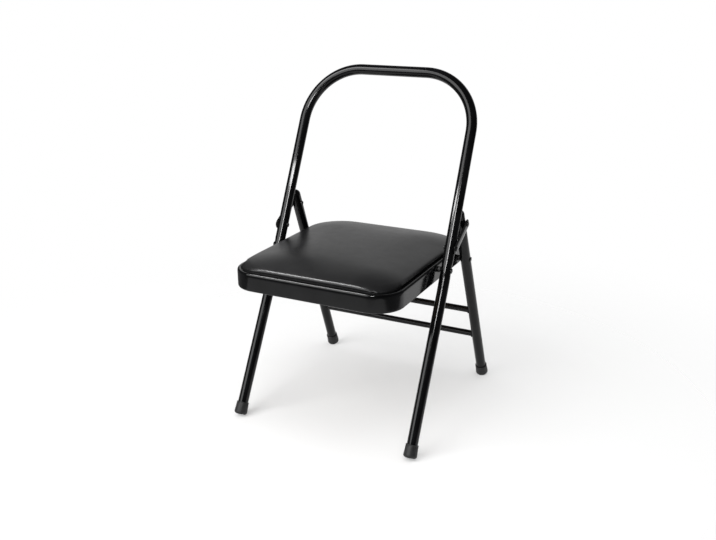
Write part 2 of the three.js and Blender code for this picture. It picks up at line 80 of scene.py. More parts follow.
def bend(corner, before, after, radius, steps):
    """Points on the circle of that radius that touches both straight runs leaving a corner: centre plus
    the first spoke times sin((1 - t) turn) / sin(turn) plus the last spoke times sin(t turn) / sin(turn)."""
    back = unit(before - corner)
    on = unit(after - corner)
    half = np.arccos(back @ on) / 2
    centre = corner + unit(back + on) * radius / np.sin(half)
    first = corner + back * radius / np.tan(half) - centre
    last = corner + on * radius / np.tan(half) - centre
    turn = np.pi - 2 * half
    t = np.linspace(0, 1, steps + 1)[:, None]
    return centre + (first * np.sin((1 - t) * turn) + last * np.sin(t * turn)) / np.sin(turn)


def runs(points, spacing):
    """The same line with points added so that none lie further apart than the spacing."""
    parts = [points[:1]]
    for start, end in zip(points[:-1], points[1:]):
        count = max(1, int(np.ceil(np.linalg.norm(end - start) / spacing)))
        share = np.arange(1, count + 1)[:, None] / count
        parts.append(start + (end - start) * share)
    return np.vstack(parts)


def tube_rings(line, deep, wide, side, around=tube_around):
    """Rings along a line: point + deep cos a * up + wide sin a * across, where up is the side direction
    with its share along the line taken out, and across is square to the line and to up."""
    along = unit(np.gradient(line, axis=0))
    up = unit(side - (along @ side)[:, None] * along)
    across = np.cross(along, up)
    angle = full_turn(around)
    rise = (deep[:, None] * np.cos(angle))[:, :, None] * up[:, None]
    return line[:, None] + rise + (wide[:, None] * np.sin(angle))[:, :, None] * across[:, None]


def ring_faces(count, around, loop=False):
    """Faces between each ring of points and the next: a point, the one beside it, and the two above."""
    ring = np.arange(count if loop else count - 1)[:, None] * around
    place = np.arange(around)[None, :]
    beside = (place + 1) % around
    above = (ring + around) % (count * around)
    return np.stack([ring + place, ring + beside, above + beside, above + place], -1).reshape(-1, 4)


def skin(name, rings, loop=False, crease=35):
    """A closed mesh through rings of points. Each ring is joined to the next one; the first and the last
    are joined to each other in a loop, and otherwise filled from their middle points."""
    count, around, _ = rings.shape
    faces = ring_faces(count, around, loop).tolist()
    points = rings.reshape(-1, 3)
    if not loop:
        first = np.arange(around)
        last = first + (count - 1) * around
        middle = np.full(around, count * around)
        faces += np.stack([first, middle, np.roll(first, -1)], -1).tolist()
        faces += np.stack([last, np.roll(last, -1), middle + 1], -1).tolist()
        points = np.vstack([points, rings[0].mean(0), rings[-1].mean(0)])
    mesh = bpy.data.meshes.new(name)
    mesh.from_pydata(points.tolist(), [], faces)
    tidy = bmesh.new()
    tidy.from_mesh(mesh)
    bmesh.ops.remove_doubles(tidy, verts=tidy.verts, dist=1e-6)
    bmesh.ops.dissolve_degenerate(tidy, edges=tidy.edges, dist=1e-7)
    bmesh.ops.recalc_face_normals(tidy, faces=tidy.faces)
    tidy.to_mesh(mesh)
    tidy.free()
    mesh.polygons.foreach_set("use_smooth", np.ones(len(mesh.polygons), bool))
    mesh.set_sharp_from_angle(angle=np.radians(crease))
    made = bpy.data.objects.new(name, mesh)
    bpy.context.scene.collection.objects.link(made)
    return made


def fit(made, body, slot, finish, *nodes):
    """Paints a piece, lets it ride on its body and lets it stand for its CAD nodes."""
    made.data.materials.append(finish)
    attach(made, body)
    if nodes:
        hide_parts(*nodes)


def new_finish(name, colour, roughness, shine=0.5):
    """A material with one Principled shader; its plain values are set on the shader's own sockets."""
    finish = bpy.data.materials.new(name)
    finish.use_nodes = True
    shader = finish.node_tree.nodes["Principled BSDF"]
    shader.inputs["Base Color"].default_value = colour
    shader.inputs["Roughness"].default_value = roughness
    shader.inputs["Specular IOR Level"].default_value = shine
    return finish


def pattern(finish, scale, kind="ShaderNodeTexNoise", value="Fac", stretch=(1, 1, 1), **sockets):
    """The value of a procedural texture at a scale per metre on the piece's own object coordinates."""
    nodes, links = finish.node_tree.nodes, finish.node_tree.links
    place = nodes.new("ShaderNodeTexCoord")
    mapping = nodes.new("ShaderNodeMapping")
    mapping.inputs["Scale"].default_value = stretch
    texture = nodes.new(kind)
    texture.inputs["Scale"].default_value = scale
    for socket, amount in sockets.items():
        texture.inputs[socket].default_value = amount
    links.new(place.outputs["Object"], mapping.inputs["Vector"])
    links.new(mapping.outputs["Vector"], texture.inputs["Vector"])
    return texture.outputs[value]


def shade_between(finish, driver, dark, light, low=0.35, high=0.65):
    """Base colour that goes from dark to light as the texture's value goes from low to high."""
    nodes, links = finish.node_tree.nodes, finish.node_tree.links
    ramp = nodes.new("ShaderNodeValToRGB")
    ramp.color_ramp.elements[0].position = low
    ramp.color_ramp.elements[0].color = dark
    ramp.color_ramp.elements[1].position = high
    ramp.color_ramp.elements[1].color = light
    links.new(driver, ramp.inputs["Fac"])
    links.new(ramp.outputs["Color"], nodes["Principled BSDF"].inputs["Base Color"])


def gloss_between(finish, driver, smooth, rough):
    """Roughness that follows a texture's value: smooth + (rough - smooth) * value."""
    nodes, links = finish.node_tree.nodes, finish.node_tree.links
    spread = nodes.new("ShaderNodeMapRange")
    spread.inputs["To Min"].default_value = smooth
    spread.inputs["To Max"].default_value = rough
    links.new(driver, spread.inputs["Value"])
    links.new(spread.outputs["Result"], nodes["Principled BSDF"].inputs["Roughness"])


def relief(finish, driver, depth, strength, under=None):
    """A bump of that depth in metres from a texture's value, laid over another bump if one is given."""
    nodes, links = finish.node_tree.nodes, finish.node_tree.links
    bump = nodes.new("ShaderNodeBump")
    bump.inputs["Distance"].default_value = depth
    bump.inputs["Strength"].default_value = strength
    links.new(driver, bump.inputs["Height"])
    if under is not None:
        links.new(under.outputs["Normal"], bump.inputs["Normal"])
    links.new(bump.outputs["Normal"], nodes["Principled BSDF"].inputs["Normal"])
    return bump


# The enamel has dust in broad patches, fine rub marks, and a faint orange peel 3 mm across.
enamel = new_finish("gloss_black_enamel", enamel_black, roughness=0.08, shine=0.25)
dust = pattern(enamel, scale=22, Detail=4.0)
shade_between(enamel, dust, enamel_black, enamel_dusty)
rub = pattern(enamel, scale=90, Detail=6.0, Roughness=0.7)
gloss_between(enamel, rub, smooth=0.08, rough=0.16)
peel = pattern(enamel, scale=330, Detail=1.0)
relief(enamel, peel, depth=0.00002, strength=0.08)

# The middle line goes up the right side, and its mirror image comes down the left. At a distance d
# from a hinge the tube is deeper and narrower by exp(-(d / reach)^4).
tube_start = front_foot + unit(front_knee - front_foot) * front_start
upper_run = front_bow - front_knee
seat_hinge = front_knee + upper_run * (seat_hinge_height - front_knee[2]) / upper_run[2]
lower_line = np.vstack([tube_start, bend(front_knee, tube_start, front_bow, knee_bend, knee_steps)])
right_line = np.vstack([
    runs(lower_line, ring_spacing),
    seat_hinge + unit(upper_run) * press_rows[:, None],
    bend(front_bow, front_knee, front_bow * mirror, bow_bend, bow_steps),
])
front_line = runs(np.vstack([right_line, (right_line * mirror)[::-1]]), ring_spacing)
line_on_right = np.column_stack([np.abs(front_line[:, 0]), front_line[:, 1:]])
pressed = np.exp(-(np.linalg.norm(line_on_right - seat_hinge, axis=1) / press_reach) ** 4)
front_deep = tube_radius * (1 + press_deeper * pressed)
front_wide = tube_radius * (1 - press_narrower * pressed)
bow_square = unit(np.cross(upper_run, rightward))
front_tube = skin("bowed_front_tube", tube_rings(front_line, front_deep, front_wide, bow_square))
fit(front_tube, "front_frame", "black_paint", enamel, "front_frame_tube")

# The rear legs are two straight lengths of the same tube. Each top is spun closed to a round end,
# which rests against the back of the front tube and keeps the chair from opening any further.
rear_foot = np.array([0.2256, 0.2614, 0.0])
rear_top = np.array([0.2181, 0.05954, 0.4895])
rear_up = unit(rear_top - rear_foot)
rear_start = 0.0081
leg_length = np.linalg.norm(rear_top - rear_foot)
leg_rows = np.linspace(rear_start, leg_length, 18)
leg_dome = np.linspace(0, np.pi / 2, 14)[1:]
sides = (("left", -1), ("right", 1))


def turned(name, centre, axis, radii, heights, around=tube_around, crease=35):
    """A turned shape: centre + height * axis + radius (cos a, sin a) on two directions square to the axis,
    which must not lie along y. The heights may differ round the ring, which cuts a pattern into a face."""
    axis = unit(axis)
    side = unit(np.cross(axis, [0.0, 1.0, 0.0]))
    other = np.cross(axis, side)
    angle = full_turn(around)
    spokes = np.cos(angle)[:, None] * side + np.sin(angle)[:, None] * other
    radii = np.asarray(radii, float)
    heights = np.asarray(heights, float)
    heights = np.broadcast_to(heights if heights.ndim == 2 else heights[:, None], (len(radii), around))
    return skin(name, centre + radii[:, None, None] * spokes + heights[:, :, None] * axis, crease=crease)


leg_radii = np.concatenate([np.full(len(leg_rows), tube_radius), tube_radius * np.cos(leg_dome)])
leg_heights = np.concatenate([leg_rows, leg_length + tube_radius * np.sin(leg_dome)])
for name, sign in sides:
    flip = [sign, 1, 1]
    leg = turned(f"round_topped_leg_{name}", rear_foot * flip, rear_up * flip, leg_radii, leg_heights)
    fit(leg, "rear_legs", "black_paint", enamel, f"rear_leg_{name}")

# Two 15 mm crossbars hold the rear legs apart. Their ends are notched to sit round the legs and are
# welded there, and the bead's ripples show through the same black enamel.
bar_radius = 0.0077
bar_around = 48
bar_heights = (("upper", 0.212), ("lower", 0.1344))
bar_rows = np.concatenate([[-1], np.linspace(-0.98, 0.98, 9), [1]])[:, None, None]
weld_gap = 0.0002
bead_radius = 0.0016
bead_out = 0.0004
bead_around = 12
seam_steps = 3
ripple_depth = 0.16
ripple_length = 6


def rear_at(height):
    """The point of the right leg's middle line at a height above the floor."""
    return rear_foot + (rear_top - rear_foot) * height / rear_top[2]


def about_x(angle):
    """Directions round the x axis: (0, cos a, sin a)."""
    return np.stack([np.zeros(len(angle)), np.cos(angle), np.sin(angle)], -1)


def notch(height, reach):
    """A bar's surface lines as offsets d from its middle line, and how far out they meet a round leg of
    that reach and direction u: the nearer root X of
    (1 - ux ux) X X - 2 ux b X + (d d - b b - reach reach) = 0, with b = d along u."""
    off = about_x(full_turn(bar_around)) * bar_radius
    share = off @ rear_up
    square = 1 - rear_up[0] ** 2
    half = rear_up[0] * share
    rest = (off ** 2).sum(-1) - share ** 2 - reach ** 2
    return off, rear_at(height)[0] + (half - np.sqrt(half ** 2 - square * rest)) / square


def weld_rings(seam, middle):
    """Rings of a bead along a closed seam: point + radius (1 + depth sin(ripple)) * (cos a outward +
    sin a across), where outward points away from the bar's middle line."""
    share = np.tile(np.arange(seam_steps) / seam_steps, len(seam))[:, None]
    corners = np.repeat(seam, seam_steps, axis=0)
    seam = corners * (1 - share) + np.roll(corners, -seam_steps, axis=0) * share
    along = unit(np.roll(seam, -1, axis=0) - np.roll(seam, 1, axis=0))
    outward = unit((seam - middle) * [0, 1, 1])[:, None]
    across = np.cross(along[:, None], outward)
    ripple = 1 + ripple_depth * np.sin(np.arange(len(seam)) * 2 * np.pi / ripple_length)
    turn = full_turn(bead_around)[None, :, None]
    spokes = np.cos(turn) * outward + np.sin(turn) * across
    return seam[:, None] + bead_radius * ripple[:, None, None] * spokes


for bar_name, height in bar_heights:
    off, ends = notch(height, tube_radius + weld_gap)
    middle = rear_at(height) * [0, 1, 1]
    bar = skin(f"{bar_name}_crossbar_tube", middle + off + bar_rows * ends[:, None] * rightward)
    fit(bar, "rear_legs", "black_paint", enamel, f"{bar_name}_crossbar")
    for name, sign in sides:
        seam = middle + off * (1 + bead_out / bar_radius) + (sign * (ends - bead_out))[:, None] * rightward
        bead = skin(f"{bar_name}_weld_{name}", weld_rings(seam, middle), loop=True)
        fit(bead, "rear_legs", "black_paint", enamel)

# The four foot caps are soft black rubber cups, pushed over the tube ends. Each has a lip at its
# mouth, widens towards the sole, and is pressed flat where it meets the floor.
cap_mouth = 0.0146
cap_foot = 0.0156
cap_round = 0.006
cap_length = 0.03
cap_pressed = 0.0006
cap_bore = 0.0128
cap_bore_depth = 0.02
cap_lip_start = 0.0035
cap_lip_out = np.array([-0.00035, -0.0004, -0.0001, 0.0002, 0.0002, -0.0003, -0.0009])
cap_lip_up = np.array([-0.0031, -0.0027, -0.0023, -0.0018, -0.0008, -0.0002, 0.0])
sole_rows = 7
round_turn = np.linspace(0, np.pi / 2, 12)
wall_rows = np.linspace(0, 1, 14)[1:]
rubber_plain = (0.012, 0.012, 0.0125, 1.0)
rubber_dark = (0.008, 0.008, 0.0083, 1.0)
rubber_scuffed = (0.018, 0.018, 0.0186, 1.0)


def points_of(mesh):
    """A mesh's points as one array, a row of x, y and z for each."""
    flat = np.zeros(len(mesh.vertices) * 3, np.float32)
    mesh.vertices.foreach_get("co", flat)
    return flat.reshape(-1, 3)


rubber = new_finish("soft_black_rubber", rubber_plain, roughness=0.5, shine=0.35)
scuff = pattern(rubber, scale=160, Detail=5.0, Roughness=0.65)
shade_between(rubber, scuff, rubber_dark, rubber_scuffed)
gloss_between(rubber, scuff, smooth=0.36, rough=0.62)
mould_skin = pattern(rubber, scale=1400, Detail=2.0)
relief(rubber, mould_skin, depth=0.00006, strength=0.5)

cap_radii = np.concatenate([
    np.linspace(0, cap_foot - cap_round, sole_rows, endpoint=False),
    cap_foot - cap_round + cap_round * np.sin(round_turn),
    cap_foot + (cap_mouth - cap_foot) * wall_rows,
    cap_mouth + cap_lip_out,
    [cap_bore, cap_bore],
])
for leg_name, foot, above, body in (
    ("front", front_foot, front_knee, "front_frame"),
    ("rear", rear_foot, rear_top, "rear_legs"),
):
    up = unit(above - foot)
    sine, cosine = np.sqrt(1 - up[2] ** 2), up[2]
    sole = ((cap_foot - cap_round) * sine + cap_round - cap_pressed) / cosine - cap_round
    rim = sole + cap_length
    wall_low, wall_high = sole + cap_round, rim - cap_lip_start
    cap_heights = np.concatenate([
        np.full(sole_rows, sole),
        sole + cap_round * (1 - np.cos(round_turn)),
        wall_low + (wall_high - wall_low) * wall_rows,
        rim + cap_lip_up,
        [rim, rim - cap_bore_depth],
    ])
    for name, sign in sides:
        flip = [sign, 1, 1]
        cap_name = f"{leg_name}_rubber_foot_{name}"
        cap = turned(cap_name, foot * flip, up * flip, cap_radii, cap_heights, crease=50)
        standing = points_of(cap.data)
        standing[:, 2] = np.maximum(standing[:, 2], 0)
        cap.data.vertices.foreach_set("co", standing.ravel())
        fit(cap, body, "foot_plastic", rubber, f"{leg_name}_foot_cap_{name}")

# A link plate on each side is a steel bar with round ends, stamped from sheet with its edges drawn in
# so that its face is crowned, and painted black. It swings on a rivet through the front tube and
# carries the rear leg on another.
plate_half = 0.012
plate_flat = 0.002
plate_crown = 0.0016
plate_sheet = 0.0014
plate_steps = 28
plate_out = np.concatenate([[0], np.linspace(plate_flat, plate_half - plate_sheet / 2, 12)])
plate_drop = plate_crown * (np.maximum(plate_out - plate_flat, 0) / (plate_half - plate_flat)) ** 2
edge_turn = np.linspace(0.15, 0.85, 5) * np.pi
edge_out = plate_out[-1] + plate_sheet / 2 * np.sin(edge_turn)
plate_width = np.concatenate([plate_out, edge_out, plate_out[::-1]])
end_turn = np.linspace(-np.pi / 2, np.pi / 2, plate_steps)

# Each ring: pin + width * direction round the outline, at a reach that falls by the crown's drop,
# crown * ((width - flat) / (half - flat))^2.
for name, sign in sides:
    low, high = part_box(f"link_plate_{name}")
    front_pin = np.array([0, low.y + plate_half, low.z + plate_half])
    rear_pin = np.array([0, high.y - plate_half, high.z - plate_half])
    run = unit(rear_pin - front_pin)
    lean = np.arctan2(run[2], run[1])
    normals = about_x(np.concatenate([lean + end_turn, lean + np.pi + end_turn]))
    pins = np.repeat([rear_pin, front_pin], plate_steps, axis=0)
    face = max(abs(low.x), abs(high.x)) - plate_drop
    edge_reach = face[-1] - plate_sheet / 2 * (1 + np.cos(edge_turn))
    reach = np.concatenate([face - plate_sheet, edge_reach, face[::-1]])
    rings = pins + plate_width[:, None, None] * normals + (sign * reach)[:, None, None] * rightward
    plate = skin(f"swinging_link_{name}", rings)
    fit(plate, f"{name}_link", "black_paint", enamel, f"link_plate_{name}")

# The hinges are steel rivets with low round heads on the outside, and hollow tails rolled over on the
# inside. They are blackened, and the black has worn a little in places.
head_size = 0.006
head_height = 0.0018
head_edge = 0.12
head_bulge_out = 0.9
head_bulge_up = 0.8
head_turn = np.linspace(0, np.pi / 2, 12)
shank = 0.004
shank_bore = 0.0028
shank_bore_depth = 0.0013
roll_middle = 0.0046
roll_size = 0.00075
roll_turn = np.linspace(-0.2, 1.1, 12) * np.pi
coat_plain = (0.01, 0.01, 0.0105, 1.0)
coat_dark = (0.005, 0.005, 0.0055, 1.0)
coat_worn = (0.03, 0.03, 0.031, 1.0)

# A head is size sin(a)^out wide where it is height (edge + (1 - edge) cos(a)^up) high.
head_radii = head_size * np.sin(head_turn) ** head_bulge_out
head_heights = head_height * (head_edge + (1 - head_edge) * np.cos(head_turn) ** head_bulge_up)
rivet_coat = new_finish("blackened_rivet_steel", coat_plain, roughness=0.22, shine=0.4)
coat_rub = pattern(rivet_coat, scale=700, Detail=4.0)
shade_between(rivet_coat, coat_rub, coat_dark, coat_worn, low=0.45, high=0.75)
gloss_between(rivet_coat, coat_rub, smooth=0.16, rough=0.34)
hammer = pattern(rivet_coat, scale=500, Detail=2.0)
relief(rivet_coat, hammer, depth=0.00008, strength=0.4)


def pin_of(node, sign):
    """A hinge part's middle, its half height, and its outer and inner ends as distances from the chair's
    middle plane."""
    low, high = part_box(node)
    middle = np.array([0, (low.y + high.y) / 2, (low.z + high.z) / 2])
    outer, inner = (high.x, low.x) if sign > 0 else (-low.x, -high.x)
    return middle, (high.z - low.z) / 2, outer, inner


def rolled_tail(start, end):
    """Radii and heights of a shank from its start to a tail rolled over at its end: a lip of radius
    middle + size cos a and height size (1 - sin a), about a shallow bore."""
    bore_floor = end + shank_bore_depth
    radii = np.concatenate([[shank, shank], roll_middle + roll_size * np.cos(roll_turn), [shank_bore, 0.0]])
    heights = np.concatenate([
        [start, end + 2 * roll_size], end + roll_size * (1 - np.sin(roll_turn)), [bore_floor, bore_floor]])
    return radii, heights


for joint, body in (("link_front", "front_frame"), ("link_rear", "rear_legs"),
                    ("seat_front", "front_frame"), ("seat_rear", "rear_legs")):
    for name, sign in sides:
        pin, _, crown, tail_end = pin_of(f"{joint}_rivet_{name}", sign)
        under_head = crown - head_height
        if joint == "seat_rear":
            tail_radii, tail_heights = [shank, shank, 0.0], [under_head, tail_end, tail_end]
        else:
            tail_radii, tail_heights = rolled_tail(under_head, tail_end)
        radii = np.concatenate([head_radii, [head_size], tail_radii])
        heights = np.concatenate([under_head + head_heights, [under_head], tail_heights])
        rivet = turned(f"{joint}_low_rivet_{name}", pin, sign * rightward, radii, heights)
        fit(rivet, body, "rivet_steel", rivet_coat, f"{joint}_rivet_{name}")

for name, sign in sides:
    pin, _, face, tail_end = pin_of(f"seat_rear_stub_{name}", sign)
    tail_radii, tail_heights = rolled_tail(face, tail_end)
    radii = np.concatenate([[0], tail_radii])
    heights = np.concatenate([[face], tail_heights])
    stub = turned(f"seat_rear_rolled_tail_{name}", pin, sign * rightward, radii, heights)
    fit(stub, "seat", "rivet_steel", rivet_coat, f"seat_rear_stub_{name}")

# Black nylon washers keep the link plates off the tubes, and short nylon spacers keep the seat pan
# off them. They are turned rings with their edges just broken.
washer_bore = 0.0044
washer_edge = 0.0005
washer_edge_share = 0.3
washer_around = 48
broken_turn = np.linspace(0, np.pi / 2, 4)
nylon_plain = (0.02, 0.02, 0.02, 1.0)
nylon_dark = (0.015, 0.015, 0.015, 1.0)
nylon_light = (0.03, 0.03, 0.03, 1.0)
nylon = new_finish("black_nylon", nylon_plain, roughness=0.45)
swirl = pattern(nylon, scale=260, Detail=3.0)
shade_between(nylon, swirl, nylon_dark, nylon_light)
gloss_between(nylon, swirl, smooth=0.35, rough=0.55)
tool_marks = pattern(nylon, scale=1800, Detail=1.0)
relief(nylon, tool_marks, depth=0.00003, strength=0.4)

# Each edge is a quarter circle: in by soft (1 - sin a) and down by soft (1 - cos a).
for part, body in (("link_front_washer", "front_frame"), ("link_rear_washer", "rear_legs"),
                   ("seat_front_spacer", "front_frame"), ("seat_rear_spacer", "rear_legs")):
    for name, sign in sides:
        pin, wide, outer, inner = pin_of(f"{part}_{name}", sign)
        soft = min(washer_edge, (outer - inner) * washer_edge_share)
        edge_radii = wide - soft * (1 - np.sin(broken_turn))
        edge_drop = soft * (1 - np.cos(broken_turn))
        radii = np.concatenate([[washer_bore], edge_radii, edge_radii[::-1], [washer_bore]])
        heights = np.concatenate([[outer], outer - edge_drop, (inner + edge_drop)[::-1], [inner]])
        spokes = about_x(full_turn(washer_around))
        rings = pin + radii[:, None, None] * spokes + (sign * heights)[:, None, None] * rightward
        ring = skin(f"nylon_{part}_{name}", rings, loop=True)
        fit(ring, body, "spacer_plastic", nylon, f"{part}_{name}")

# The seat pan is pressed from 1.5 mm sheet: an upright apron runs round it from a turned-in lip up to
# a rim that is folded over inwards, and a flange inside carries the board. It is enamelled too.
pan_low, pan_high = (np.array(corner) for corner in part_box("seat_pan"))
seat_middle = (pan_low + pan_high) / 2 * [1, 1, 0]
seat_half = (pan_high - pan_low)[:2] / 2
seat_round = 0.063
rim_top = pan_high[2]
pan_bottom = pan_low[2]
sheet = 0.0015
flange_in = 0.0322
flange_top = rim_top - 0.0066
fold_in = 0.009
lip_in = 0.0112
cut_edge = 0.0005
fold_foot_round = 0.001
fold_round = 0.0036
rim_round = 0.0075
bottom_round = 0.003
lip_round = 0.0018
flange_round = 0.002
most_cut = 0.45
pan_steps = 8
apron_rows = 12
corner_steps = 28
run_steps = 24
upward = np.array([0.0, 0.0, 1.0])


def seat_outline():
    """The seat's outline as corner centres and outward directions: a point at a distance in from the edge
    is its centre + (corner radius - distance) * direction, with the centres sliding along straight runs."""
    reach = seat_half - seat_round
    signs = np.array([[1, 1], [-1, 1], [-1, -1], [1, -1]])
    centres, turns = [], []
    for quarter in range(4):
        here = signs[quarter] * reach
        beyond = signs[(quarter + 1) % 4] * reach
        arc = (quarter + np.linspace(0, 1, corner_steps)) * np.pi / 2
        share = np.linspace(0, 1, run_steps + 1)[1:-1, None]
        centres += [np.repeat(here[None], corner_steps, 0), here + (beyond - here) * share]
        turns += [arc, np.full(run_steps - 1, (quarter + 1) * np.pi / 2)]
    centres, turns = np.vstack(centres), np.concatenate(turns)
    flat = np.zeros(len(turns))
    return np.column_stack([centres, flat]), np.stack([np.cos(turns), np.sin(turns), flat], -1)


def rounded(corners, steps):
    """A closed outline from corners given as distance in, height and rounding. Each corner is cut back by
    its rounding, or by most_cut of a side if that is less, to points A and B. Between them runs
    (1 - t)(1 - t) A + 2 t (1 - t) corner + t t B."""
    corners = np.asarray(corners, float)
    points, radius = corners[:, :2], corners[:, 2:]
    before = np.roll(points, 1, axis=0) - points
    after = np.roll(points, -1, axis=0) - points
    cut_before = np.minimum(radius, np.linalg.norm(before, axis=1, keepdims=True) * most_cut)
    cut_after = np.minimum(radius, np.linalg.norm(after, axis=1, keepdims=True) * most_cut)
    start = (points + unit(before) * cut_before)[:, None]
    end = (points + unit(after) * cut_after)[:, None]
    t = np.linspace(0, 1, steps)[None, :, None]
    return ((1 - t) ** 2 * start + 2 * t * (1 - t) * points[:, None] + t ** 2 * end).reshape(-1, 2)


def round_the_seat(profile):
    """A profile carried round the seat: outline centre + (corner radius - distance in) * direction, at
    the profile's heights."""
    across = (seat_round - profile[:, 0])[None, :, None] * outline_normals[:, None]
    return (outline_centres + seat_middle)[:, None] + (across + profile[:, 1][None, :, None] * upward)


outline_centres, outline_normals = seat_outline()
pan_profile = rounded([
    [flange_in, flange_top, cut_edge],
    [fold_in, flange_top, fold_foot_round],
    [fold_in, rim_top, fold_round],
    [0.0, rim_top, rim_round],
    [0.0, pan_bottom, bottom_round],
    [lip_in, pan_bottom, cut_edge],
    [lip_in, pan_bottom + sheet, cut_edge],
    [sheet, pan_bottom + sheet, lip_round],
    [sheet, flange_top - sheet, flange_round],
    [flange_in, flange_top - sheet, cut_edge],
], pan_steps)
apron_start = 4 * pan_steps
apron_side = np.linspace(pan_profile[apron_start - 1], pan_profile[apron_start], apron_rows)[1:-1]
pan_profile = np.vstack([pan_profile[:apron_start], apron_side, pan_profile[apron_start:]])
pan = skin("pressed_seat_pan", round_the_seat(pan_profile), loop=True, crease=60)
fit(pan, "seat", "black_paint", enamel, "seat_pan")

# The board under the pad is 6 mm plywood, left bare underneath. Four black screws come up through the
# pan's flange into it, and their round heads have a cross recess.
board_in = 0.013
board_edge = 0.0006
board_top = rim_top - 0.0003
board_bottom = rim_top - 0.0063
screw_head = 0.0045
screw_head_height = 0.0024
screw_shank = 0.002
recess_depth = 0.0012
recess_arm = 0.16
recess_reach = 0.62
screw_around = 96
wood_plain = (0.3, 0.22, 0.14, 1.0)
wood_dark = (0.2, 0.13, 0.075, 1.0)
wood_light = (0.4, 0.3, 0.195, 1.0)
bare_wood = new_finish("bare_plywood", wood_plain, roughness=0.75)
grain = pattern(bare_wood, scale=60, stretch=(12, 0.6, 1), Detail=6.0, Roughness=0.7)
shade_between(bare_wood, grain, wood_dark, wood_light, low=0.3, high=0.7)
gloss_between(bare_wood, grain, smooth=0.65, rough=0.9)
pores = pattern(bare_wood, scale=300, stretch=(8, 0.5, 1), Detail=3.0)
relief(bare_wood, pores, depth=0.00015, strength=0.5)


def seat_rows(shares, insets, heights):
    """Rings like the seat's outline: share * (centre + (corner radius - inset) * direction), at a height."""
    flat = outline_centres[None] + (seat_round - np.asarray(insets))[:, None, None] * outline_normals[None]
    rows = flat * np.asarray(shares)[:, None, None] + seat_middle
    rows[:, :, 2] += np.asarray(heights)[:, None]
    return rows


edge_in = board_in + board_edge
board_rows = seat_rows(
    [0, 0.5, 1, 1, 1, 1, 0.5, 0],
    [edge_in, edge_in, edge_in, board_in, board_in, edge_in, edge_in, edge_in],
    [board_bottom, board_bottom, board_bottom, board_bottom + board_edge,
     board_top - board_edge, board_top, board_top, board_top])
board = skin("plywood_seat_board", board_rows)
fit(board, "seat", "board_wood", bare_wood, "seat_board")

# A screw's head drops by height * (1 - sqrt(1 - s s)) at a share s of its radius. Its recess is a
# cross, deep where s |sin 2a| is less than the width of an arm.
head_share = np.linspace(0, 1, 20)[:, None]
recess_side = np.abs(np.sin(2 * full_turn(screw_around))) * head_share
recess = recess_depth * np.sqrt(np.clip(1 - recess_side / recess_arm, 0, 1)) * (head_share < recess_reach)
dome = screw_head_height * (1 - np.sqrt(1 - head_share ** 2)) + recess
screw_radii = np.concatenate([screw_head * head_share[:, 0], [screw_shank, screw_shank, 0.0]])
for number in range(1, 5):
    low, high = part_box(f"seat_screw_{number}")
    place = np.array([(low.x + high.x) / 2, (low.y + high.y) / 2, 0])
    shank_heights = np.repeat([[low.z + screw_head_height], [high.z], [high.z]], screw_around, axis=1)
    heights = np.vstack([low.z + dome, shank_heights])
    screw = turned(f"cross_head_screw_{number}", place, upward, screw_radii, heights, screw_around)
    fit(screw, "seat", "rivet_steel", rivet_coat, f"seat_screw_{number}")

# The pad is foam under smooth black vinyl, pulled tight over the board and stapled beneath it. It is
# nearly flat on top, falls away in a soft shoulder along each side, so that its corners are lowest,
# and rolls over to an edge that draws in below, 7.5 mm inside the pan's own edge.
pad_in = 0.0075
pad_roll = 0.009
pad_under = 0.005
pad_rise = 0.028
pad_dome = 0.0026
pad_shoulder = 0.016
pad_reach = 0.1
pad_waist = 0.7
pad_slack = 0.004
crown_rows = 36
crown_crowding = 0.8
roll_rows = 18
side_rows = 12
held_height = 0.002
vinyl_plain = (0.008, 0.008, 0.0085, 1.0)
vinyl_dark = (0.0065, 0.0065, 0.007, 1.0)
vinyl_worn = (0.01, 0.01, 0.0106, 1.0)


def pad_rows():
    """The pad's rows, from the crown out: share s of the outline, distance in, and share of the height;
    height = share up * (rise - slack * max(1 - fall, 0) - dome s s - shoulder * fall), where fall is the
    sum over both axes of max(1 - gap / reach, 0)^2 and the slack is taken up when the vinyl swells."""
    crown_share = np.linspace(0, 1, crown_rows) ** crown_crowding
    turn = np.linspace(0, np.pi / 2, roll_rows)[1:]
    down = np.linspace(0, 1, side_rows)[1:]
    shares = np.concatenate([crown_share, np.ones(len(turn) + len(down)), [0.5, 0]])
    insets = np.concatenate([np.full(crown_rows, pad_roll), pad_roll * (1 - np.sin(turn)),
                             pad_under * down, [pad_under, pad_under]])
    ups = np.concatenate([np.ones(crown_rows), pad_waist + (1 - pad_waist) * np.cos(turn),
                          pad_waist * (1 - down), [0, 0]])
    rows = seat_rows(shares, insets + pad_in, np.full(len(shares), rim_top))
    gaps = seat_half - pad_in - np.abs(rows[:, :, :2] - seat_middle[:2])
    fall = (np.maximum(1 - gaps / pad_reach, 0) ** 2).sum(-1)
    slack = pad_slack * np.maximum(1 - fall, 0)
    rise = pad_rise - slack - pad_dome * shares[:, None] ** 2 - pad_shoulder * fall
    rows[:, :, 2] += ups[:, None] * rise
    return rows


def worked_out(made):
    """The piece as its modifiers leave it."""
    return made.evaluated_get(bpy.context.evaluated_depsgraph_get())


